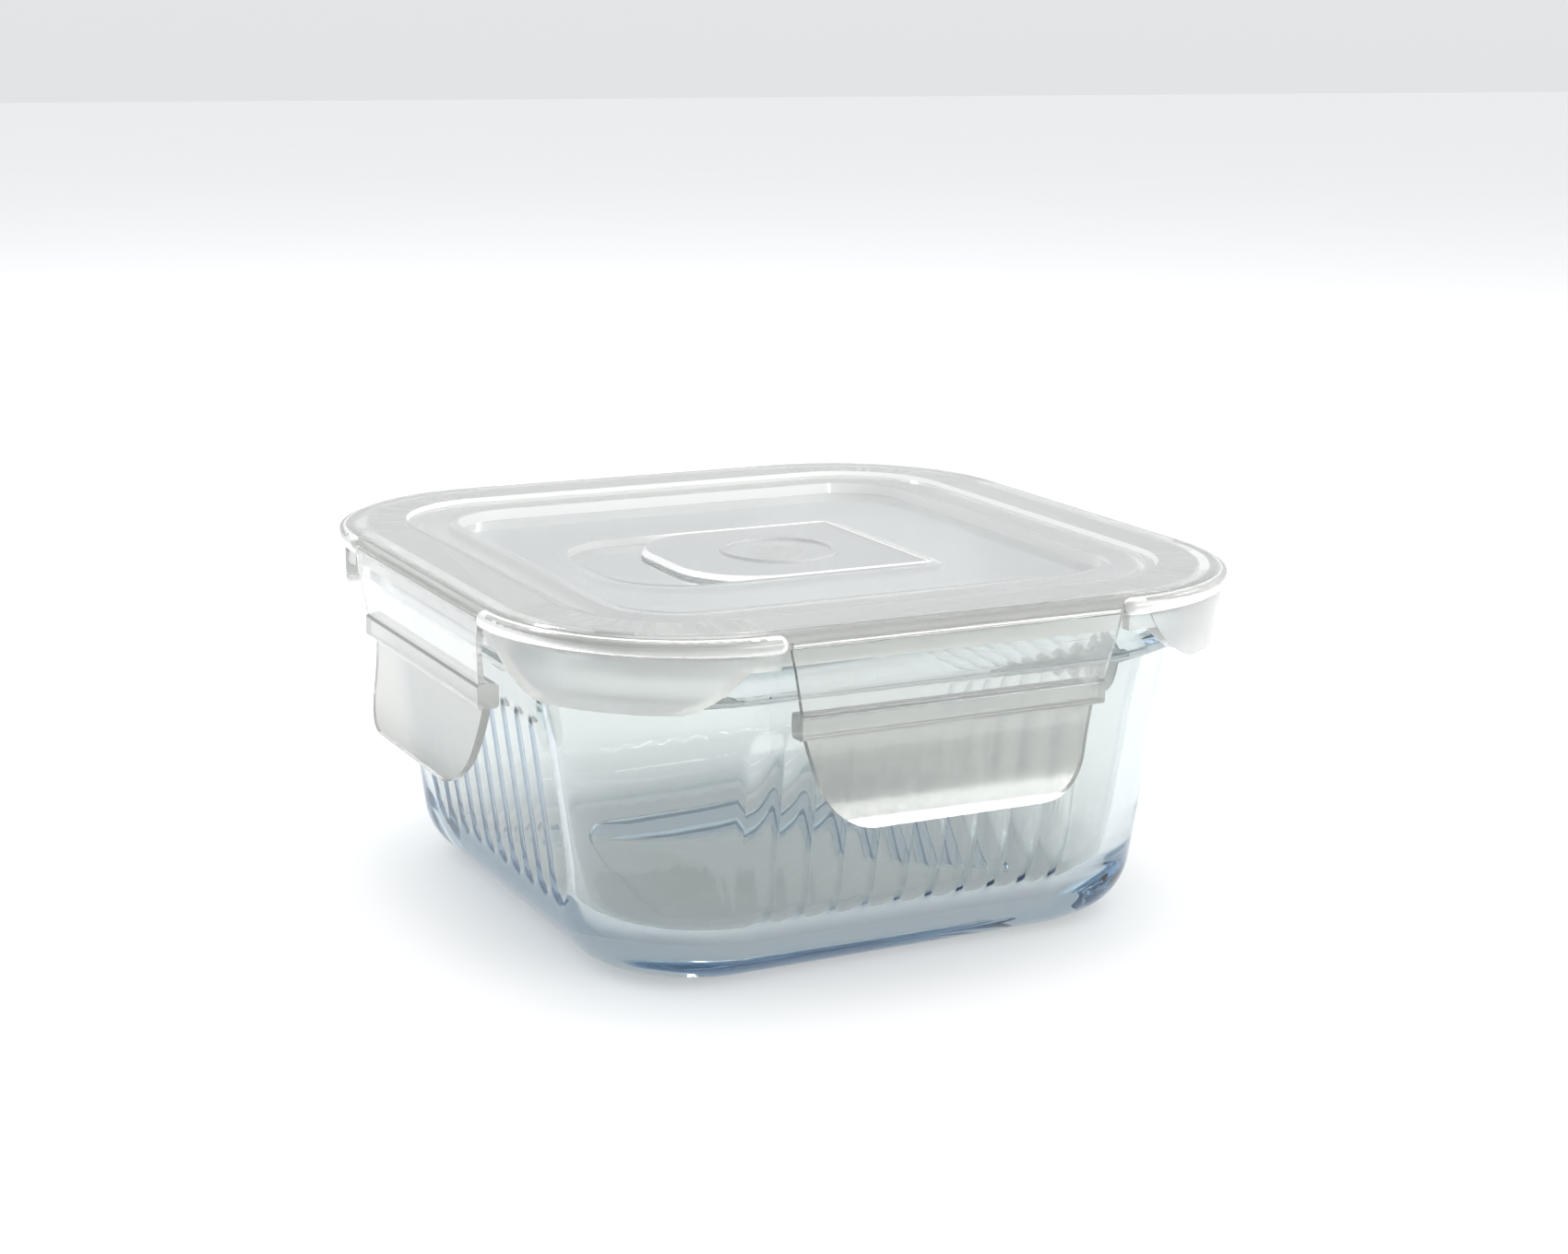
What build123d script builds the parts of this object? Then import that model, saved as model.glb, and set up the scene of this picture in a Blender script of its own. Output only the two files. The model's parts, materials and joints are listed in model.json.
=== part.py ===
"""Square glass food container: a fluted glass dish under a plastic lid with four latches,
a sealing gasket and a steam-vent flap.

Millimetres, +Z up. The origin is the centre of the foot, on the surface the dish stands on.
The latches hang in their released position, just clear of the glass rim.
"""

import os
from math import atan, cos, degrees, radians, sin, sqrt, tan

from build123d import *

os.makedirs("parts", exist_ok=True)

# Glass dish
FOOT_HALF = 46.8  # wall carried down to the standing surface, before rounding
FOOT_RADIUS = 18.7  # plan radius of the corners at the foot
FOOT_ROUND = 10.6  # rounding between the walls and the underside
WALL_HALF = 53.1  # wall just below the rim
RIM_HALF = 56.0
RIM_RADIUS = 27.9
RIM_BOTTOM = 45.5
DISH_TOP = 53.6
MOUTH_HALF = 50.2
MOUTH_RADIUS = 22.1
CAVITY_FLOOR = 5.0
CAVITY_ROUND = 9.0
RECESS_HALF = 29.0  # shallow recess under the foot
RECESS_RADIUS = 14.0
RECESS_DEPTH = 0.7
FLUTES = 10  # pressed into the inside of each wall
FLUTE_PITCH = 5.62
FLUTE_RADIUS = 9.0
FLUTE_BOTTOM = 14.6  # heights of the centres of a flute's round ends
FLUTE_TOP = 36.8

# Lid
LID_TOP = 57.0
LID_HALF = 60.0
LID_RADIUS = 30.5
SKIRT_INSIDE = 56.5  # inner face of the lid's outer wall
BAND_BOTTOM = 51.6  # lower edge of that wall between the corners
LOBE_HALF = 60.9  # corner lobes stand proud of the wall at their top and hang lower
LOBE_LEAN = 7.5  # degrees, drawing in downwards
LOBE_TOP = 56.4
LOBE_BOTTOM = 45.8
LOBE_REACH = 31.0  # where a lobe's end starts, along the side
LOBE_END_WIDTH = 11.0  # how much further along it reaches its full depth
TERRACE_HALF = 49.4  # flat band inside the raised border
TERRACE_RADIUS = 18.0
TERRACE_TOP = 56.3
PANEL_HALF = 41.4  # sunken middle, where another container stacks
PANEL_RADIUS = 11.5
PANEL_TOP = 54.6
PLATE = 1.6
PLUG_HALF = 49.0  # centring wall that drops inside the glass
PLUG_BOTTOM = 49.6
PLUG_THICKNESS = 1.5

# Gasket
GASKET_INSIDE = 49.8
GASKET_OUTSIDE = 56.2
GASKET_BOTTOM = 54.2
LIP_BOTTOM = 53.75
LIP_WIDTH = 0.8

# Vent pocket and flap, centred on the lid in Y
POCKET_LEFT = -32.0
POCKET_HALF = 18.6
POCKET_FLOOR = 53.3
POCKET_LEFT_RADIUS = 13.0
POCKET_RIGHT_RADIUS = 2.5
FLAP_LEFT = -19.2
FLAP_HALF = 18.1
FLAP_BOTTOM = 53.7
FLAP_TOP = 54.6
FLAP_LEFT_RADIUS = 13.0
FLAP_HINGE_X = 20.0
FLAP_HINGE_Z = 54.2
FLAP_HINGE_RADIUS = 0.4
VENT_X = 1.5
VENT_HOLE_RADIUS = 2.5
VENT_STEM_RADIUS = 2.05
VENT_STEM_BOTTOM = 52.4
RIDGE_RADIUS = 9.6
RIDGE_WIDTH = 1.1
RIDGE_HEIGHT = 0.3

# Latches
LATCH_ANGLES = {"front": 0, "right": 90, "back": 180, "left": 270}
HINGE_OUT = 60.1  # distance of a latch's hinge line from the middle of the lid
HINGE_Z = 54.9
HINGE_RADIUS = 0.45
HINGE_PLAY = 0.05
STRAP_TOP_HALF = 27.0
BAR_HALF = 25.0
SEAT_HALF = 28.5  # recess in the lid's edge behind a latch
SEAT_OUT = 58.2
LEDGE_OUT = 59.7
LEDGE_BOTTOM = 54.5
BAR_INSIDE = 56.35
BAR_OUTSIDE = 59.7
BAR_TOP = 44.6
BAR_BOTTOM = 40.8
TAB_TOP_HALF = 24.8  # at the height of the bar's top
TAB_BOTTOM_HALF = 20.2
TAB_BOTTOM = 27.6
TAB_CORNER = 8.5


def side_plane(angle):
    """Cross-section plane of one side of the lid: sketch X points out of that side, sketch Y up."""
    turn = radians(angle)
    return Plane(origin=(0, 0, 0), x_dir=(sin(turn), -cos(turn), 0), z_dir=(-cos(turn), -sin(turn), 0))


def face_plane(angle):
    """Elevation plane of one side of the lid: sketch X runs along that side, sketch Y up."""
    turn = radians(angle)
    return Plane(origin=(0, 0, 0), x_dir=(cos(turn), sin(turn), 0), z_dir=(sin(turn), -cos(turn), 0))


def level_faces(builder, height):
    """The level faces of a piece at a height."""
    return builder.faces().filter_by(Axis.Z).filter_by_position(Axis.Z, height - 0.01, height + 0.01)


def write(part, name):
    """Labels a finished piece and writes its file."""
    part.label = name
    export_step(part, f"parts/{name}.step")


# Glass dish: smooth tapered outside, rim bead, foot recess, and a cavity with scalloped flutes in its walls
wall_tilt = degrees(atan((WALL_HALF - FOOT_HALF) / RIM_BOTTOM))
rod_inset = sqrt(FLUTE_RADIUS**2 - (FLUTE_PITCH / 2) ** 2) / cos(radians(wall_tilt))
flute_middle = (FLUTE_TOP + FLUTE_BOTTOM) / 2
flute_length = (FLUTE_TOP - FLUTE_BOTTOM) / cos(radians(wall_tilt))
rod_out = MOUTH_HALF - (DISH_TOP - flute_middle) * tan(radians(wall_tilt)) - rod_inset
flute_rods = []
flute_ends = []
for side in range(4):
    for number in range(FLUTES):
        across = (number - (FLUTES - 1) / 2) * FLUTE_PITCH
        rod = Rot(0, 0, 90 * side) * Pos(across, -rod_out, flute_middle) * Rot(wall_tilt, 0, 0)
        flute_rods.append(rod)
        flute_ends.append(rod * Pos(0, 0, flute_length / 2))
        flute_ends.append(rod * Pos(0, 0, -flute_length / 2))

with BuildPart() as glass_body:
    with BuildSketch(Plane.XY):
        RectangleRounded(2 * FOOT_HALF, 2 * FOOT_HALF, FOOT_RADIUS)
    extrude(amount=RIM_BOTTOM + 1, taper=-wall_tilt)
    fillet(glass_body.faces().sort_by(Axis.Z)[0].edges(), FOOT_ROUND)
    with BuildSketch(Plane.XY.offset(RIM_BOTTOM)):
        RectangleRounded(2 * RIM_HALF, 2 * RIM_HALF, RIM_RADIUS)
    extrude(amount=DISH_TOP - RIM_BOTTOM)
    fillet(glass_body.faces().sort_by(Axis.Z)[-1].edges(), 1.6)
    rim_ledge = level_faces(glass_body, RIM_BOTTOM)
    fillet(rim_ledge[0].outer_wire().edges(), 1.2)
    with BuildSketch(Plane.XY.offset(DISH_TOP)):
        RectangleRounded(2 * MOUTH_HALF, 2 * MOUTH_HALF, MOUTH_RADIUS)
    extrude(amount=CAVITY_FLOOR - DISH_TOP, taper=wall_tilt, mode=Mode.SUBTRACT)
    cavity_floor = level_faces(glass_body, CAVITY_FLOOR)
    fillet(cavity_floor[0].outer_wire().edges(), CAVITY_ROUND)
    rim_face = glass_body.faces().filter_by(Axis.Z).sort_by(Axis.Z)[-1]
    fillet(rim_face.inner_wires()[0].edges(), 1.4)
    with Locations(*flute_rods):
        Cylinder(FLUTE_RADIUS, flute_length, mode=Mode.SUBTRACT)
    with Locations(*flute_ends):
        Sphere(FLUTE_RADIUS, mode=Mode.SUBTRACT)
    with BuildSketch(Plane.XY):
        RectangleRounded(2 * RECESS_HALF, 2 * RECESS_HALF, RECESS_RADIUS)
    extrude(amount=RECESS_DEPTH, taper=35, mode=Mode.SUBTRACT)
write(glass_body.part, "glass_body")

# Lid: raised border, terrace, sunken panel, corner skirts, centring wall and vent pocket
PLATE_UNDERSIDE = LID_TOP - PLATE
PANEL_UNDERSIDE = PANEL_TOP - PLATE
POCKET_RIGHT = FLAP_HINGE_X + FLAP_HINGE_RADIUS - 0.05
POCKET_WALL = 1.4
lobe_end = LOBE_REACH + LOBE_END_WIDTH
lobe_middle = (LOBE_REACH + 0.36 * LOBE_END_WIDTH, LOBE_TOP - 0.60 * (LOBE_TOP - LOBE_BOTTOM))

with BuildPart() as lid_plate:
    with BuildSketch(Plane.XY.offset(BAND_BOTTOM)):
        RectangleRounded(2 * LID_HALF, 2 * LID_HALF, LID_RADIUS)
    extrude(amount=LID_TOP - BAND_BOTTOM)
    fillet(lid_plate.faces().sort_by(Axis.Z)[-1].edges(), 1.4)

with BuildPart() as lid:
    with BuildSketch(Plane.XY.offset(LOBE_TOP)):
        RectangleRounded(2 * LOBE_HALF, 2 * LOBE_HALF, LID_RADIUS + LOBE_HALF - LID_HALF)
    extrude(amount=LOBE_BOTTOM - LOBE_TOP, taper=LOBE_LEAN)
    fillet(lid.faces().sort_by(Axis.Z)[-1].edges(), 0.7)
    for plane in (Plane.XZ, Plane.YZ):
        with BuildSketch(plane):
            with BuildLine():
                Polyline(
                    (-LOBE_REACH, LOBE_TOP),
                    (-LOBE_REACH, LID_TOP),
                    (LOBE_REACH, LID_TOP),
                    (LOBE_REACH, LOBE_TOP),
                )
                ThreePointArc((LOBE_REACH, LOBE_TOP), lobe_middle, (lobe_end, LOBE_BOTTOM))
                Line((lobe_end, LOBE_BOTTOM), (-lobe_end, LOBE_BOTTOM))
                ThreePointArc(
                    (-lobe_end, LOBE_BOTTOM),
                    (-lobe_middle[0], lobe_middle[1]),
                    (-LOBE_REACH, LOBE_TOP),
                )
            make_face()
        extrude(amount=LID_HALF + 5, both=True, mode=Mode.SUBTRACT)
    add(lid_plate.part)
    with BuildSketch(Plane.XY.offset(LOBE_BOTTOM)):
        RectangleRounded(2 * SKIRT_INSIDE, 2 * SKIRT_INSIDE, LID_RADIUS - (LID_HALF - SKIRT_INSIDE))
    extrude(amount=PLATE_UNDERSIDE - LOBE_BOTTOM, mode=Mode.SUBTRACT)
    for angle in LATCH_ANGLES.values():
        with BuildSketch(side_plane(angle)):
            Polygon(
                (SEAT_OUT, LOBE_BOTTOM),
                (SEAT_OUT, LEDGE_BOTTOM),
                (LEDGE_OUT, LEDGE_BOTTOM),
                (LEDGE_OUT, LID_TOP + 1),
                (LID_HALF + 4, LID_TOP + 1),
                (LID_HALF + 4, LOBE_BOTTOM),
                align=None,
            )
        extrude(amount=SEAT_HALF, both=True, mode=Mode.SUBTRACT)
        with BuildSketch(side_plane(angle)):
            with Locations((HINGE_OUT, HINGE_Z)):
                Circle(HINGE_RADIUS)
        extrude(amount=STRAP_TOP_HALF, both=True, mode=Mode.SUBTRACT)
    with BuildSketch(Plane.XY.offset(LID_TOP)):
        RectangleRounded(2 * TERRACE_HALF, 2 * TERRACE_HALF, TERRACE_RADIUS)
    extrude(amount=TERRACE_TOP - LID_TOP, taper=30, mode=Mode.SUBTRACT)
    with BuildSketch(Plane.XY.offset(PLUG_BOTTOM)):
        RectangleRounded(2 * PLUG_HALF, 2 * PLUG_HALF, MOUTH_RADIUS - (MOUTH_HALF - PLUG_HALF))
        offset(amount=-PLUG_THICKNESS, mode=Mode.SUBTRACT)
    extrude(amount=PLATE_UNDERSIDE - PLUG_BOTTOM)
    with BuildSketch(Plane.XY.offset(PANEL_UNDERSIDE)):
        RectangleRounded(2 * (PANEL_HALF + PLATE), 2 * (PANEL_HALF + PLATE), PANEL_RADIUS + PLATE)
    extrude(amount=TERRACE_TOP - PANEL_UNDERSIDE)
    with BuildSketch(Plane.XY.offset(TERRACE_TOP)):
        RectangleRounded(2 * PANEL_HALF, 2 * PANEL_HALF, PANEL_RADIUS)
    extrude(amount=PANEL_TOP - TERRACE_TOP, taper=12, mode=Mode.SUBTRACT)
    with BuildSketch(Plane.XY.offset(POCKET_FLOOR - POCKET_WALL)) as pocket_shell:
        with Locations(((POCKET_LEFT + POCKET_RIGHT) / 2, 0)):
            Rectangle(POCKET_RIGHT - POCKET_LEFT + 2 * POCKET_WALL, 2 * (POCKET_HALF + POCKET_WALL))
        fillet(pocket_shell.vertices().group_by(Axis.X)[0], POCKET_LEFT_RADIUS + POCKET_WALL)
        fillet(pocket_shell.vertices().group_by(Axis.X)[-1], POCKET_RIGHT_RADIUS + POCKET_WALL)
    extrude(amount=PANEL_TOP - POCKET_FLOOR + POCKET_WALL)
    with BuildSketch(Plane.XY.offset(POCKET_FLOOR)) as pocket:
        with Locations(((POCKET_LEFT + POCKET_RIGHT) / 2, 0)):
            Rectangle(POCKET_RIGHT - POCKET_LEFT, 2 * POCKET_HALF)
        fillet(pocket.vertices().group_by(Axis.X)[0], POCKET_LEFT_RADIUS)
        fillet(pocket.vertices().group_by(Axis.X)[-1], POCKET_RIGHT_RADIUS)
    extrude(amount=LID_TOP - POCKET_FLOOR, mode=Mode.SUBTRACT)
    with BuildSketch(Plane.XY.offset(POCKET_FLOOR)):
        with Locations((VENT_X, 0)):
            Circle(VENT_HOLE_RADIUS)
    extrude(amount=-2 * POCKET_WALL, mode=Mode.SUBTRACT)
    with BuildSketch(Plane.XZ):
        with Locations((FLAP_HINGE_X, FLAP_HINGE_Z)):
            Circle(FLAP_HINGE_RADIUS)
    extrude(amount=FLAP_HALF - 1, both=True, mode=Mode.SUBTRACT)
write(lid.part, "lid")

# Gasket: a flat strip over the glass rim with two lips that press on the glass
with BuildPart() as lid_gasket:
    lips = ((GASKET_INSIDE + 1.4, LIP_WIDTH), (GASKET_OUTSIDE - 1.4 - LIP_WIDTH, LIP_WIDTH))
    with BuildSketch(Plane.XY.offset(GASKET_BOTTOM)):
        RectangleRounded(2 * GASKET_OUTSIDE, 2 * GASKET_OUTSIDE, LID_RADIUS - (LID_HALF - GASKET_OUTSIDE))
        offset(amount=GASKET_INSIDE - GASKET_OUTSIDE, mode=Mode.SUBTRACT)
    extrude(amount=PLATE_UNDERSIDE - GASKET_BOTTOM)
    for inside, width in lips:
        with BuildSketch(Plane.XY.offset(LIP_BOTTOM)):
            outside = inside + width
            RectangleRounded(2 * outside, 2 * outside, LID_RADIUS - (LID_HALF - outside))
            offset(amount=-width, mode=Mode.SUBTRACT)
        extrude(amount=GASKET_BOTTOM - LIP_BOTTOM)
write(lid_gasket.part, "lid_gasket")

# Vent flap: a flat plaque with a round left end and a ring ridge, hinged along its right edge
hinge_spot = (FLAP_HINGE_X, FLAP_HINGE_Z)

with BuildPart() as vent_flap:
    flap_right = FLAP_HINGE_X - 0.05
    with BuildSketch(Plane.XY.offset(FLAP_BOTTOM)) as flap_outline:
        with Locations(((FLAP_LEFT + flap_right) / 2, 0)):
            Rectangle(flap_right - FLAP_LEFT, 2 * FLAP_HALF)
        fillet(flap_outline.vertices().group_by(Axis.X)[0], FLAP_LEFT_RADIUS)
        fillet(flap_outline.vertices().group_by(Axis.X)[-1], 0.8)
    extrude(amount=FLAP_TOP - FLAP_BOTTOM)
    chamfer(vent_flap.faces().sort_by(Axis.Z)[-1].edges().sort_by(Axis.X)[-1], 0.75)
    with BuildSketch(Plane.XZ):
        with Locations(hinge_spot):
            Circle(FLAP_HINGE_RADIUS + HINGE_PLAY)
    extrude(amount=FLAP_HALF + 1, both=True, mode=Mode.SUBTRACT)
    with BuildSketch(Plane.XY.offset(FLAP_TOP)):
        with Locations((VENT_X, 0)):
            Circle(RIDGE_RADIUS)
            Circle(RIDGE_RADIUS - RIDGE_WIDTH, mode=Mode.SUBTRACT)
    extrude(amount=RIDGE_HEIGHT)
write(vent_flap.part, "vent_flap")

with BuildPart() as vent_hinge_web:
    with BuildSketch(Plane.XZ):
        with Locations(hinge_spot):
            Circle(FLAP_HINGE_RADIUS)
    extrude(amount=FLAP_HALF - 1, both=True)
write(vent_hinge_web.part, "vent_hinge_web")

with BuildPart() as vent_plug:
    with BuildSketch(Plane.XY.offset(VENT_STEM_BOTTOM)):
        with Locations((VENT_X, 0)):
            Circle(VENT_STEM_RADIUS)
    extrude(amount=FLAP_BOTTOM - VENT_STEM_BOTTOM)
    with BuildSketch(Plane.XY.offset(FLAP_BOTTOM - 0.3)):
        with Locations((VENT_X, 0)):
            Circle(2 * VENT_STEM_RADIUS)
    extrude(amount=0.3)
write(vent_plug.part, "vent_plug")

# Latches: a thin strap, a locking bar that hooks under the glass rim, and a flared pull tab
for side, angle in LATCH_ANGLES.items():
    with BuildPart() as latch:
        with BuildSketch(side_plane(angle)):
            with BuildLine():
                inner = ThreePointArc((57.1, 41.4), (58.1, 34.6), (60.4, TAB_BOTTOM))
                outer = ThreePointArc((58.4, 41.4), (59.3, 34.9), (61.5, TAB_BOTTOM))
                Line(inner @ 0, outer @ 0)
                Line(inner @ 1, outer @ 1)
            make_face()
        extrude(amount=TAB_TOP_HALF, both=True)
        with BuildSketch(side_plane(angle)):
            Polygon(
                (60.3, 54.8),
                (60.3, 51.2),
                (59.5, BAR_TOP),
                (58.5, BAR_TOP),
                (59.5, 51.0),
                (59.5, 54.2),
                align=None,
            )
        extrude(amount=STRAP_TOP_HALF, both=True)
        with BuildSketch(face_plane(angle)) as outline:
            Polygon(
                (-STRAP_TOP_HALF, LID_TOP),
                (-STRAP_TOP_HALF, HINGE_Z - 1),
                (-TAB_TOP_HALF, BAR_TOP),
                (-TAB_BOTTOM_HALF, TAB_BOTTOM),
                (TAB_BOTTOM_HALF, TAB_BOTTOM),
                (TAB_TOP_HALF, BAR_TOP),
                (STRAP_TOP_HALF, HINGE_Z - 1),
                (STRAP_TOP_HALF, LID_TOP),
                align=None,
            )
            fillet(outline.vertices().group_by(Axis.Y)[0], TAB_CORNER)
        extrude(amount=2 * LID_HALF, mode=Mode.INTERSECT)
        with BuildSketch(side_plane(angle)) as bar_section:
            with Locations(((BAR_INSIDE + BAR_OUTSIDE) / 2, (BAR_TOP + BAR_BOTTOM) / 2)):
                RectangleRounded(BAR_OUTSIDE - BAR_INSIDE, BAR_TOP - BAR_BOTTOM, 0.7)
        extrude(amount=BAR_HALF, both=True)
        with BuildSketch(side_plane(angle)):
            with Locations((HINGE_OUT, HINGE_Z)):
                Circle(HINGE_RADIUS + HINGE_PLAY)
        extrude(amount=STRAP_TOP_HALF + 1, both=True, mode=Mode.SUBTRACT)
    write(latch.part, f"latch_{side}")

    with BuildPart() as hinge_web:
        with BuildSketch(side_plane(angle)):
            with Locations((HINGE_OUT, HINGE_Z)):
                Circle(HINGE_RADIUS)
        extrude(amount=STRAP_TOP_HALF, both=True)
    write(hinge_web.part, f"hinge_web_{side}")
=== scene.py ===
"""Square glass food container with a latched translucent lid, on a pale floor in soft studio light."""

import json
from math import cos, degrees, pi, radians, sin, tan

import bpy
from mathutils import Matrix, Vector


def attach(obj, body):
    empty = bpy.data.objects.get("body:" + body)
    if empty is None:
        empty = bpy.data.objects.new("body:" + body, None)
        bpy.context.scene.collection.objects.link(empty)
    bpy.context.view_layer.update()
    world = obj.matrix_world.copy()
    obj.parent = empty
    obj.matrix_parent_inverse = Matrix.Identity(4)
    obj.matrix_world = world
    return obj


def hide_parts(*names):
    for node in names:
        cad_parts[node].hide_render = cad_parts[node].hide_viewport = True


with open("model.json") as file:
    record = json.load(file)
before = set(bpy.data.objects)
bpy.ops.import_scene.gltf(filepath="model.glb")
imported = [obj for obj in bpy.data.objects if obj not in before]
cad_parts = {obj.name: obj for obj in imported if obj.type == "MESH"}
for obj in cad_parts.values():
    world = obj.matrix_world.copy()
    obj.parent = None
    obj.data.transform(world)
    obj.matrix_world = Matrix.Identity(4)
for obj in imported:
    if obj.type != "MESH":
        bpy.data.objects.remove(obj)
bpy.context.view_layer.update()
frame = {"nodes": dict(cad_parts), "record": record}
nodes = frame["nodes"]
scene = bpy.context.scene


# Material helpers


def new_material(name):
    """An empty node material and its node tree."""
    material = bpy.data.materials.new(name)
    material.use_nodes = True
    tree = material.node_tree
    tree.nodes.clear()
    return material, tree


def add_node(tree, kind, inputs=None, **settings):
    """A shader node with its settings and unlinked inputs."""
    node = tree.nodes.new(kind)
    for key, value in settings.items():
        setattr(node, key, value)
    for key, value in (inputs or {}).items():
        node.inputs[key].default_value = value
    return node


def compute(tree, operation, *values):
    """The result of a Math node on one or two outputs."""
    node = add_node(tree, "ShaderNodeMath", operation=operation)
    for socket, value in zip(node.inputs, values):
        tree.links.new(value, socket)
    return node.outputs["Value"]


def stretch(tree, value, start, end, low, high):
    """A value's range from start to end, carried over to low to high and held there."""
    node = add_node(
        tree, "ShaderNodeMapRange", {"From Min": start, "From Max": end, "To Min": low, "To Max": high}
    )
    tree.links.new(value, node.inputs["Value"])
    return node.outputs["Result"]


def axes_of(tree, coordinates):
    """The X, Y and Z outputs of one kind of texture coordinates, by its name."""
    axes = add_node(tree, "ShaderNodeSeparateXYZ")
    tree.links.new(add_node(tree, "ShaderNodeTexCoord").outputs[coordinates], axes.inputs["Vector"])
    return axes.outputs


def noise(tree, scale, detail=3.0, distortion=0.0):
    """Noise in the object's own coordinates, in cycles per metre."""
    place = add_node(tree, "ShaderNodeTexCoord")
    texture = add_node(
        tree,
        "ShaderNodeTexNoise",
        {"Scale": scale, "Detail": detail, "Roughness": 0.55, "Distortion": distortion},
    )
    tree.links.new(place.outputs["Object"], texture.inputs["Vector"])
    return texture.outputs["Fac"]


def tint(tree, value, low, high):
    """A colour between low and high, by a 0-1 value. Each is a colour or an output that gives one."""
    node = add_node(tree, "ShaderNodeMix", data_type="RGBA")
    for socket, color in ((node.inputs[6], low), (node.inputs[7], high)):
        if isinstance(color, tuple):
            socket.default_value = (*color, 1)
        else:
            tree.links.new(color, socket)
    tree.links.new(value, node.inputs["Factor"])
    return node.outputs[2]


def bump(tree, height, distance, strength):
    """A bump from a height, with its distance in metres."""
    node = add_node(tree, "ShaderNodeBump", {"Strength": strength, "Distance": distance})
    tree.links.new(height, node.inputs["Height"])
    return node.outputs["Normal"]


def let_light_through(tree, shader, color):
    """The shader, but clear to rays on their way to a light, so that what is behind it stays lit."""
    path = add_node(tree, "ShaderNodeLightPath")
    clear = add_node(tree, "ShaderNodeBsdfTransparent", {"Color": (*color, 1)})
    mix = add_node(tree, "ShaderNodeMixShader")
    tree.links.new(path.outputs["Is Shadow Ray"], mix.inputs["Fac"])
    tree.links.new(shader.outputs["BSDF"], mix.inputs[1])
    tree.links.new(clear.outputs["BSDF"], mix.inputs[2])
    return mix.outputs["Shader"]


# Masks: where a plastic piece has one finish or the other, and where the lid gets painted shade and painted
# highlight


def level_faces(tree):
    """1 on level sheet, which is seen through its least thickness, and 0 on steps and skirts. On the lid it
    also places painted highlight on the upright faces.
    """
    upward = compute(tree, "ABSOLUTE", axes_of(tree, "Normal")["Z"])
    return stretch(tree, upward, 0.7, 0.95, 0, 1)


def above(tree, low, high):
    """0 below the first height and 1 above the second, in metres in the object's own frame."""
    return stretch(tree, axes_of(tree, "Object")["Z"], low, high, 0, 1)


def inside_square(tree, half):
    """1 within a square about the lid's middle, given its half width in metres, and 0 outside it."""
    edge = 0.0003
    axes = axes_of(tree, "Object")
    reach = compute(tree, "MAXIMUM", *(compute(tree, "ABSOLUTE", axes[axis]) for axis in "XY"))
    return stretch(tree, reach, half + edge, half - edge, 0, 1)


def strap_faces(tree):
    """1 on the latches' thin clear straps and 0 on the bars and tabs below them."""
    bar_top = 0.0446
    strap_foot = 0.0450
    return above(tree, bar_top, strap_foot)


# Materials


def glass_material():
    """Pressed soda-lime glass: faint mould waves, clear in thin walls and blue-grey where it is thick."""
    material, tree = new_material("pressed_glass")
    shader = add_node(
        tree,
        "ShaderNodeBsdfPrincipled",
        {"Base Color": (0.835, 0.845, 0.82, 1), "IOR": 1.52, "Transmission Weight": 1.0, "Roughness": 0.0},
    )
    waves = noise(tree, 55, detail=2, distortion=0.4)
    tree.links.new(bump(tree, waves, 0.0002, 0.2), shader.inputs["Normal"])
    absorb = add_node(tree, "ShaderNodeVolumeAbsorption", {"Color": (0.25, 0.56, 0.79, 1), "Density": 21.0})
    output = add_node(tree, "ShaderNodeOutputMaterial")
    tree.links.new(let_light_through(tree, shader, (1, 1, 1)), output.inputs["Surface"])
    tree.links.new(absorb.outputs["Volume"], output.inputs["Volume"])
    return material


def frosted_plastic(name, grain, finish):
    """Frosted plastic under a clear coat. The finish gives its colour, transmission and roughness."""
    material, tree = new_material(name)
    shader = add_node(
        tree, "ShaderNodeBsdfPrincipled", {"IOR": 1.49, "Coat Weight": 1.0, "Coat Roughness": 0.05}
    )
    color, transmission, roughness = finish(tree)
    uneven = compute(tree, "MULTIPLY", roughness, stretch(tree, noise(tree, 420), 0.3, 0.7, 0.9, 1.1))
    tree.links.new(color, shader.inputs["Base Color"])
    tree.links.new(transmission, shader.inputs["Transmission Weight"])
    tree.links.new(uneven, shader.inputs["Roughness"])
    tree.links.new(bump(tree, noise(tree, 90, detail=1), grain, 0.15), shader.inputs["Normal"])
    output = add_node(tree, "ShaderNodeOutputMaterial")
    tree.links.new(let_light_through(tree, shader, (0.97, 0.97, 0.96)), output.inputs["Surface"])
    return material


def mottle(tree):
    """The noise that varies a plastic's colour."""
    return noise(tree, 140, detail=4)


def two_finishes(milk, clear, where):
    """A finish that goes from milk to clear. Each is a colour, a transmission and a roughness."""

    def finish(tree):
        share = where(tree)
        darker = tuple(0.96 * channel for channel in clear[0])
        color = tint(tree, share, milk[0], tint(tree, mottle(tree), darker, clear[0]))
        transmission = stretch(tree, share, 0, 1, milk[1], clear[1])
        return color, transmission, stretch(tree, share, 0, 1, milk[2], clear[2])

    return finish


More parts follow.
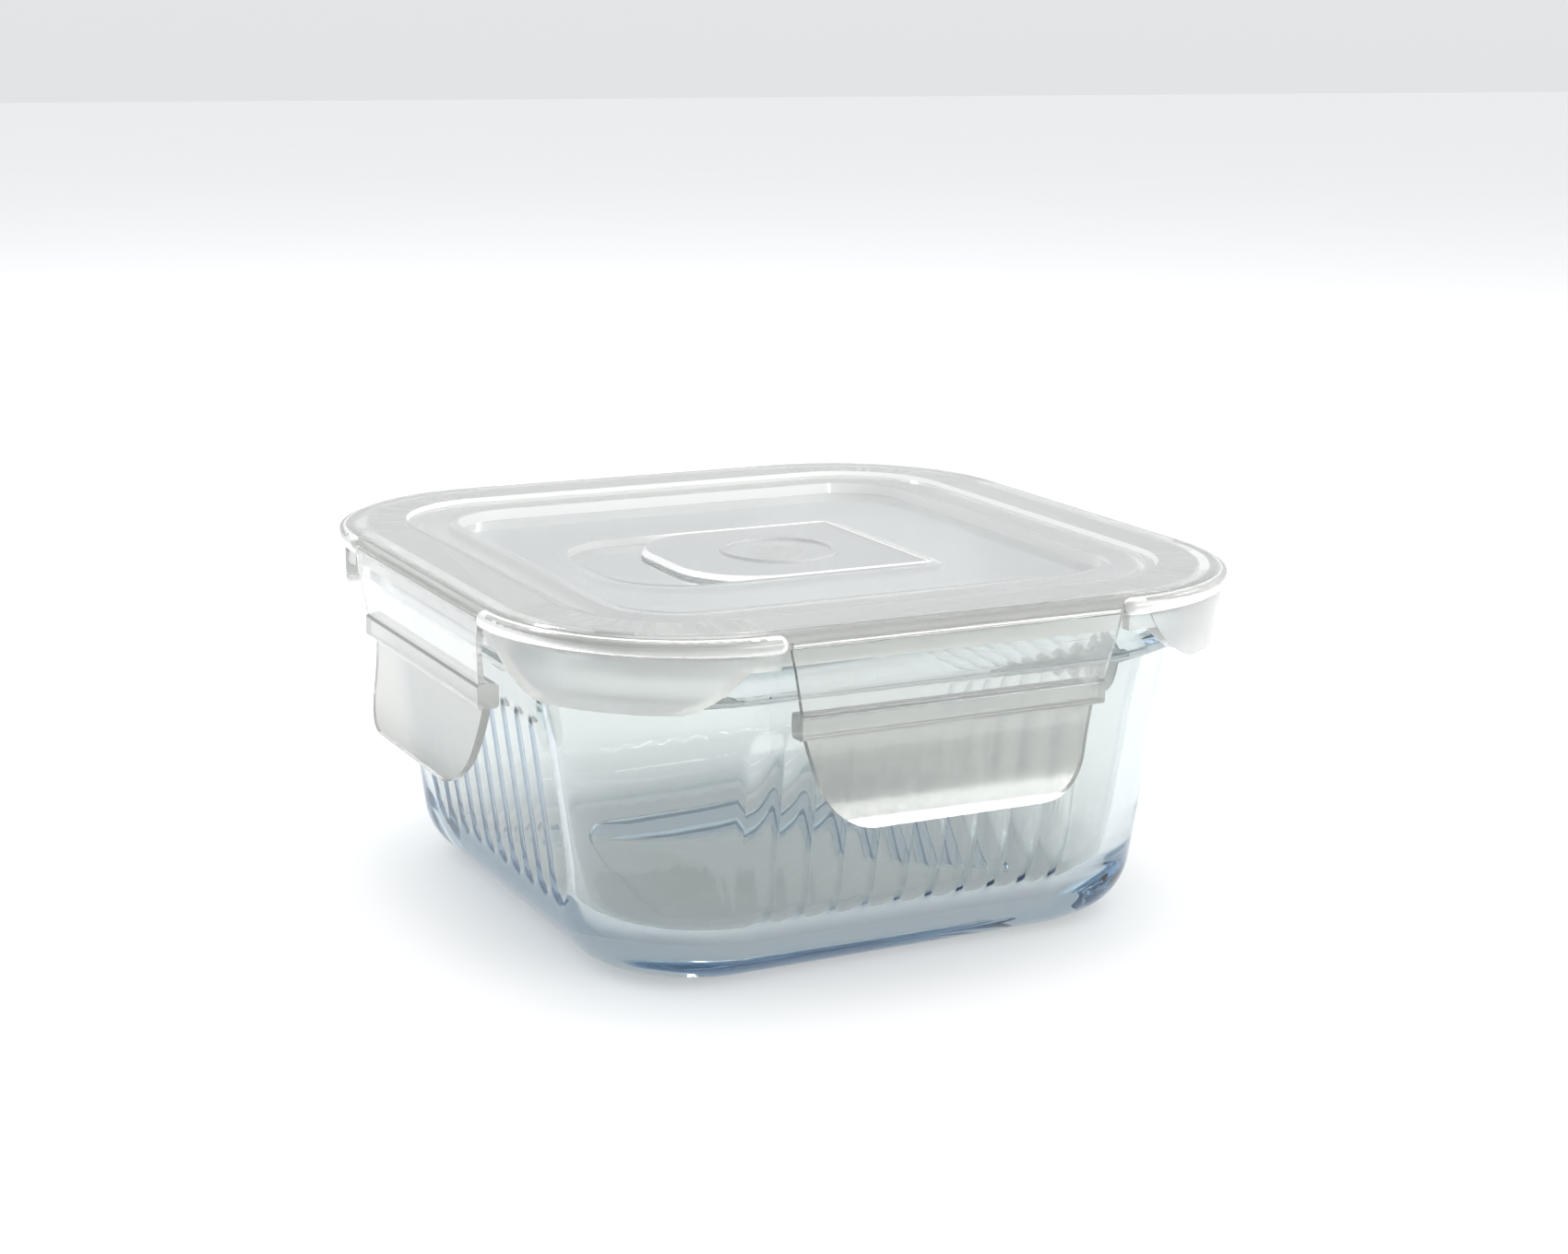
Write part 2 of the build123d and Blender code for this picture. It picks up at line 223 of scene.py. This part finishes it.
def lid_finish(tree):
    """Milky on the border, with painted shade that makes the sunk panel darker and bluish, and white on the
    raised steps, partly for the thicker plastic seen in them and partly as painted highlight.
    """
    panel_half = 0.0415
    steps_half = 0.0505
    painted_highlight_from = (0.0530, 0.0533)  # the heights over which the steps turn white, above the plug
    level = level_faces(tree)
    patches = mottle(tree)
    border = tint(tree, patches, (0.85, 0.87, 0.84), (0.89, 0.91, 0.88))
    # Painted shade: the sunk panel is painted darker and bluish than the border.
    thin = tint(tree, patches, (0.78, 0.81, 0.815), (0.82, 0.85, 0.855))
    upper = inside_square(tree, steps_half)
    # Painted highlight: upright faces are painted lighter than level ones, most of all on the raised steps;
    # partly this is the thicker plastic seen in them.
    steps = tint(tree, upper, (0.90, 0.905, 0.88), (0.97, 0.98, 0.96))
    color = tint(tree, level, steps, tint(tree, inside_square(tree, panel_half), border, thin))
    upright = stretch(tree, level, 0, 1, 1, 0)
    # Painted highlight: the raised steps above the plug are made nearly opaque, so that they stay white.
    raised = compute(tree, "MULTIPLY", compute(tree, "MULTIPLY", upright, upper), above(tree, *painted_highlight_from))
    transmission = stretch(tree, raised, 0, 1, 0.90, 0.10)
    return color, transmission, stretch(tree, level, 0, 1, 0.34, 0.16)


def floor_material():
    """Matt pale paper."""
    material, tree = new_material("pale_floor")
    shader = add_node(tree, "ShaderNodeBsdfPrincipled", {"Roughness": 0.9})
    shades = tint(tree, noise(tree, 12), (0.93, 0.93, 0.93), (0.95, 0.95, 0.95))
    tree.links.new(shades, shader.inputs["Base Color"])
    output = add_node(tree, "ShaderNodeOutputMaterial")
    tree.links.new(shader.outputs["BSDF"], output.inputs["Surface"])
    return material


GRAIN = 0.0003
LATCH_TAB = ((0.60, 0.605, 0.58), 0.86, 0.11)
LATCH_STRAP = ((0.86, 0.865, 0.85), 0.97, 0.03)
# Painted shade: the corner beads get a darker grey copy of the lid plastic, which tones down their bright
# look.
BEAD_UPRIGHT_SHADED = ((0.74, 0.75, 0.73), 0.72, 0.36)
BEAD_LEVEL_SHADED = ((0.74, 0.75, 0.73), 0.72, 0.34)
RUBBER = ((0.84, 0.85, 0.84), 0.35, 0.5)

glass = glass_material()
lid_plastic = frosted_plastic("frosted_lid", GRAIN, lid_finish)
latch_plastic = frosted_plastic("clear_latch", 0.0002, two_finishes(LATCH_TAB, LATCH_STRAP, strap_faces))
shaded_bead_plastic = frosted_plastic("frosted_bead_shaded", GRAIN, two_finishes(BEAD_UPRIGHT_SHADED, BEAD_LEVEL_SHADED, level_faces))
silicone = frosted_plastic("silicone", GRAIN, two_finishes(RUBBER, RUBBER, level_faces))

finishes = {
    "glass": glass,
    "lid_plastic": lid_plastic,
    "latch_plastic": latch_plastic,
    "silicone": silicone,
}
for part in frame["record"]["subparts"]:
    node = nodes[part["node"]]
    node.data.materials.clear()
    node.data.materials.append(finishes[part["material_slot"]])


# Pieces made here from rings of points. Their lengths are millimetres, as in the CAD model.

MM = 0.001


def skin_of_rings(name, vertices, ring_size, material):
    """A smooth object whose skin joins each ring of points to the next, with a flat face at both ends."""
    last = len(vertices) - ring_size
    faces = [
        (low + i, low + j, low + ring_size + j, low + ring_size + i)
        for low in range(0, last, ring_size)
        for i, j in ((i, (i + 1) % ring_size) for i in range(ring_size))
    ]
    faces.append(tuple(reversed(range(ring_size))))
    faces.append(tuple(last + i for i in range(ring_size)))
    mesh = bpy.data.meshes.new(name)
    mesh.from_pydata(vertices, [], faces)
    mesh.validate()
    mesh.shade_smooth()
    piece = bpy.data.objects.new(name, mesh)
    scene.collection.objects.link(piece)
    piece.data.materials.append(material)
    return piece


# Glass dish: one smooth skin, from under the foot, over the rim and down to the cavity floor.

STRAIGHT = 28.1  # half length of the straight part of a wall
STRAIGHT_SHARE = 0.62  # the most of a ring's half width that is straight
WALL_TILT = radians(7.89)
FOOT_LINE = 46.8  # half width of the outside, carried down to the floor
FOOT_ROUND = 10.6
MOUTH_LINE = 50.2  # half width of the inside, carried up to the rim
RIM_HALF = 56.0
RIM_BOTTOM = 45.5
RIM_CROWN = 8.0
RIM_CROWN_HEIGHT = 49.6
RIM_UNDER_ROUND = 0.9
RIM_LOWER_ROUND = 1.2
RIM_LOWER_INSET = 2.0
RIM_UPPER_ROUND = 1.6
RIM_UPPER_INSET = 2.2
LIP_ROUND = 1.4
DISH_TOP = 53.6
CAVITY_FLOOR = 5.0
CAVITY_ROUND = 9.0
FLUTES = 10
FLUTE_DEPTH = 0.45
FLUTE_STATIONS = (-0.5, -0.47, -0.41, -0.3, -0.15, 0, 0.15, 0.3, 0.41, 0.47)
FLUTE_TOP = 36.8
FLUTE_BOTTOM = 13.5
FLUTE_FADE_UP = 2.9
FLUTE_FADE_DOWN = 5.5
FLUTE_RINGS = 58
FLUTE_RING_STEP = 0.45
FLUTE_FIRST_RING = 40.5
CORNER_STEPS = 26


def outside_half(z):
    """Half width of the outside wall at a height."""
    return FOOT_LINE + z * tan(WALL_TILT)


def inside_half(z):
    """Half width of the cavity wall at a height."""
    return MOUTH_LINE - (DISH_TOP - z) * tan(WALL_TILT)


def arc(center, radius, start, end, steps):
    """Points along an arc of the section, as (half width, height); angles in degrees."""
    angles = (radians(start + (end - start) * i / steps) for i in range(steps + 1))
    return [(center[0] + radius * cos(t), center[1] + radius * sin(t)) for t in angles]


def dish_section():
    """The dish's section as (half width, height) points, from the foot recess to the cavity floor."""
    tilt = degrees(WALL_TILT)
    foot_center = outside_half(FOOT_ROUND) - FOOT_ROUND / cos(WALL_TILT)
    under_center = outside_half(RIM_BOTTOM - RIM_UNDER_ROUND) + RIM_UNDER_ROUND / cos(WALL_TILT)
    lip_center = inside_half(DISH_TOP - LIP_ROUND) + LIP_ROUND / cos(WALL_TILT)
    cavity_center = inside_half(CAVITY_FLOOR + CAVITY_ROUND) - CAVITY_ROUND / cos(WALL_TILT)
    points = [(10.0, 0.7), (28.2, 0.7), (28.7, 0.5), (29.1, 0.15), (29.6, 0.0)]
    points += arc((foot_center, FOOT_ROUND), FOOT_ROUND, -90, -tilt, 18)
    points += [(outside_half(z), z) for z in (18, 26, 34, 41)]
    points += arc((under_center, RIM_BOTTOM - RIM_UNDER_ROUND), RIM_UNDER_ROUND, 180 - tilt, 90, 6)
    points += arc((RIM_HALF - RIM_LOWER_INSET, RIM_BOTTOM + RIM_LOWER_ROUND), RIM_LOWER_ROUND, -90, -20, 5)
    points += arc((RIM_HALF - RIM_CROWN, RIM_CROWN_HEIGHT), RIM_CROWN, -18, 16, 10)
    points += arc((RIM_HALF - RIM_UPPER_INSET, DISH_TOP - RIM_UPPER_ROUND), RIM_UPPER_ROUND, 22, 90, 7)
    points += arc((lip_center, DISH_TOP - LIP_ROUND), LIP_ROUND, 90, 180 - tilt, 8)
    points += [(inside_half(z), z) for z in (49, 45, 41.5)]
    fluted_heights = [FLUTE_FIRST_RING - FLUTE_RING_STEP * i for i in range(FLUTE_RINGS)]
    points += [(inside_half(z), z) for z in fluted_heights]
    points += arc((cavity_center, CAVITY_FLOOR + CAVITY_ROUND), CAVITY_ROUND, -tilt, -90, 26)
    points += [(25.0, CAVITY_FLOOR)]
    return points


def flute_depth(along, z):
    """How deep the flutes are pressed at a place along a wall: scallops that fade out above and below."""
    if abs(along) >= STRAIGHT:
        return 0.0
    pitch = 2 * STRAIGHT / FLUTES
    across = (along + STRAIGHT) / pitch % 1 - 0.5
    depth = FLUTE_DEPTH * (1 - 4 * across**2)
    if z > FLUTE_TOP:
        depth -= FLUTE_DEPTH * ((z - FLUTE_TOP) / FLUTE_FADE_UP) ** 2
    if z < FLUTE_BOTTOM:
        depth -= FLUTE_DEPTH * (FLUTE_BOTTOM - z) / FLUTE_FADE_DOWN
    return max(depth, 0.0)


def side_stations():
    """One wall and one corner as (along, turn): a place along the wall, or an angle round the corner."""
    pitch = 2 * STRAIGHT / FLUTES
    walls = [(-STRAIGHT + pitch * (n + 0.5 + f), None) for n in range(FLUTES) for f in FLUTE_STATIONS]
    corners = [(STRAIGHT, radians(90) * i / CORNER_STEPS) for i in range(CORNER_STEPS)]
    return walls + corners


def dish_ring(half, z, fluted):
    """The points round the dish at one level of its section."""
    straight = min(STRAIGHT, half * STRAIGHT_SHARE)
    radius = half - straight
    ring = []
    for side in range(4):
        turn = Matrix.Rotation(radians(90) * side, 3, "Z")
        for along, angle in side_stations():
            if angle is None:
                out = half + (flute_depth(along, z) if fluted else 0.0)
                point = Vector((along * straight / STRAIGHT, -out, z))
            else:
                point = Vector((straight + radius * sin(angle), -straight - radius * cos(angle), z))
            ring.append(turn @ point * MM)
    return ring


def make_dish():
    """The dish, with its flutes on the inside only."""
    section = dish_section()
    inside_starts = section.index(max(section, key=lambda p: p[1]))
    rings = [dish_ring(half, z, level > inside_starts) for level, (half, z) in enumerate(section)]
    dish = skin_of_rings("pressed_dish", sum(rings, []), len(rings[0]), glass)
    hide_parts("glass_body")
    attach(dish, "dish")


make_dish()


# Lid corners: a round bead along the top edge of each corner lobe, with round ends.

BEAD_RADIUS = 1.45
BEAD_HALF = 59.6
BEAD_HEIGHT = 55.1
BEAD_CORNER = 30.5
BEAD_RUN = 0.2
BEAD_ARC_STEPS = 32
BEAD_END_STEP = 15  # degrees of each step over an end
BEAD_AROUND = 16


def bead_path():
    """Places along a corner bead as (point, direction, radius), with the radius closing over each end."""
    start = BEAD_HALF - BEAD_CORNER
    angles = [radians(BEAD_END_STEP * i) for i in range(1, 90 // BEAD_END_STEP + 1)]
    ends = [(-BEAD_RUN - BEAD_RADIUS * cos(t), BEAD_RADIUS * sin(t)) for t in angles]
    places = []
    for back, size in ends:
        places.append((Vector((start + back, -BEAD_HALF, BEAD_HEIGHT)), Vector((1, 0, 0)), size))
    for i in range(BEAD_ARC_STEPS + 1):
        t = radians(90) * i / BEAD_ARC_STEPS
        out = Vector((sin(t), -cos(t), 0)) * BEAD_CORNER
        point = Vector((start, -start, BEAD_HEIGHT)) + out
        places.append((point, Vector((cos(t), sin(t), 0)), BEAD_RADIUS))
    for back, size in reversed(ends):
        places.append((Vector((BEAD_HALF, -start - back, BEAD_HEIGHT)), Vector((0, 1, 0)), size))
    return places


def make_bead(name, turn):
    """A corner bead turned to its corner."""
    vertices = []
    for point, direction, size in bead_path():
        side = Vector((direction.y, -direction.x, 0))
        for i in range(BEAD_AROUND):
            t = 2 * pi * i / BEAD_AROUND
            vertices.append(turn @ (point + (side * cos(t) + Vector((0, 0, 1)) * sin(t)) * size) * MM)
    bead = skin_of_rings(name, vertices, BEAD_AROUND, shaded_bead_plastic)
    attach(bead, "lid")


for corner in range(4):
    make_bead(f"corner_bead_{corner + 1}", Matrix.Rotation(radians(90) * corner, 3, "Z"))


# Floor and light

FLOOR_SIZE = 6.0
FLOOR_HEIGHT = 0.0001  # just above the foot's flat ring, so that the glass meets the floor with no gap
LIGHT_TARGET = Vector((0, 0, 0.03))

bpy.ops.mesh.primitive_plane_add(size=FLOOR_SIZE, location=(0, 0, FLOOR_HEIGHT))
floor = bpy.context.object
floor.name = "floor"
floor.data.materials.append(floor_material())

world = bpy.data.worlds.new("studio")
scene.world = world
world.use_nodes = True
sky = world.node_tree
strength = stretch(sky, axes_of(sky, "Generated")["Z"], -0.05, 0.6, 0.78, 0.92)
sky.links.new(strength, sky.nodes["Background"].inputs["Strength"])
sky.nodes["Background"].inputs["Color"].default_value = (0.98, 0.99, 1, 1)


def area_light(name, place, width, height, power):
    """A soft box aimed at the container."""
    data = bpy.data.lights.new(name, "AREA")
    data.shape = "RECTANGLE"
    data.size = width
    data.size_y = height
    data.energy = power
    light = bpy.data.objects.new(name, data)
    light.location = place
    light.rotation_euler = (LIGHT_TARGET - Vector(place)).to_track_quat("-Z", "Y").to_euler()
    scene.collection.objects.link(light)


area_light("key", (-0.25, 0.55, 0.75), 0.5, 0.08, 1.5)
area_light("window", (0.43, -0.80, 0.33), 0.9, 0.08, 3.0)
area_light("rim", (0.8, -0.15, 0.5), 0.2, 0.2, 0.8)
area_light("top", (0.05, 0.1, 0.95), 0.6, 0.6, 3.0)


# Camera and how far light is followed through the glass

CAMERA_AZIMUTH = radians(-27.27)
CAMERA_ELEVATION = radians(13.4)
CAMERA_ROLL = radians(0.71)
CAMERA_DISTANCE = 0.4219
CAMERA_LENS = 61.1
CAMERA_SENSOR = 36
CAMERA_TARGET = Vector((-0.0019, -0.0088, 0.0440))


def camera_place():
    """The camera's place and direction, from its angles about the target."""
    ground = cos(CAMERA_ELEVATION)
    back = Vector((sin(CAMERA_AZIMUTH) * ground, -cos(CAMERA_AZIMUTH) * ground, sin(CAMERA_ELEVATION)))
    right = Vector((0, 0, 1)).cross(back).normalized()
    level = Matrix((right, back.cross(right), back)).transposed().to_4x4()
    place = Matrix.Translation(CAMERA_TARGET + back * CAMERA_DISTANCE)
    return place @ level @ Matrix.Rotation(CAMERA_ROLL, 4, "Z")


camera_data = bpy.data.cameras.new("camera")
camera_data.lens = CAMERA_LENS
camera_data.sensor_width = CAMERA_SENSOR
camera = bpy.data.objects.new("camera", camera_data)
camera.matrix_world = camera_place()
scene.collection.objects.link(camera)
scene.camera = camera
scene.view_settings.view_transform = "Standard"
scene.cycles.max_bounces = 48
scene.cycles.transmission_bounces = 48
scene.cycles.glossy_bounces = 16
scene.cycles.transparent_max_bounces = 48
scene.cycles.caustics_reflective = False
scene.cycles.caustics_refractive = False
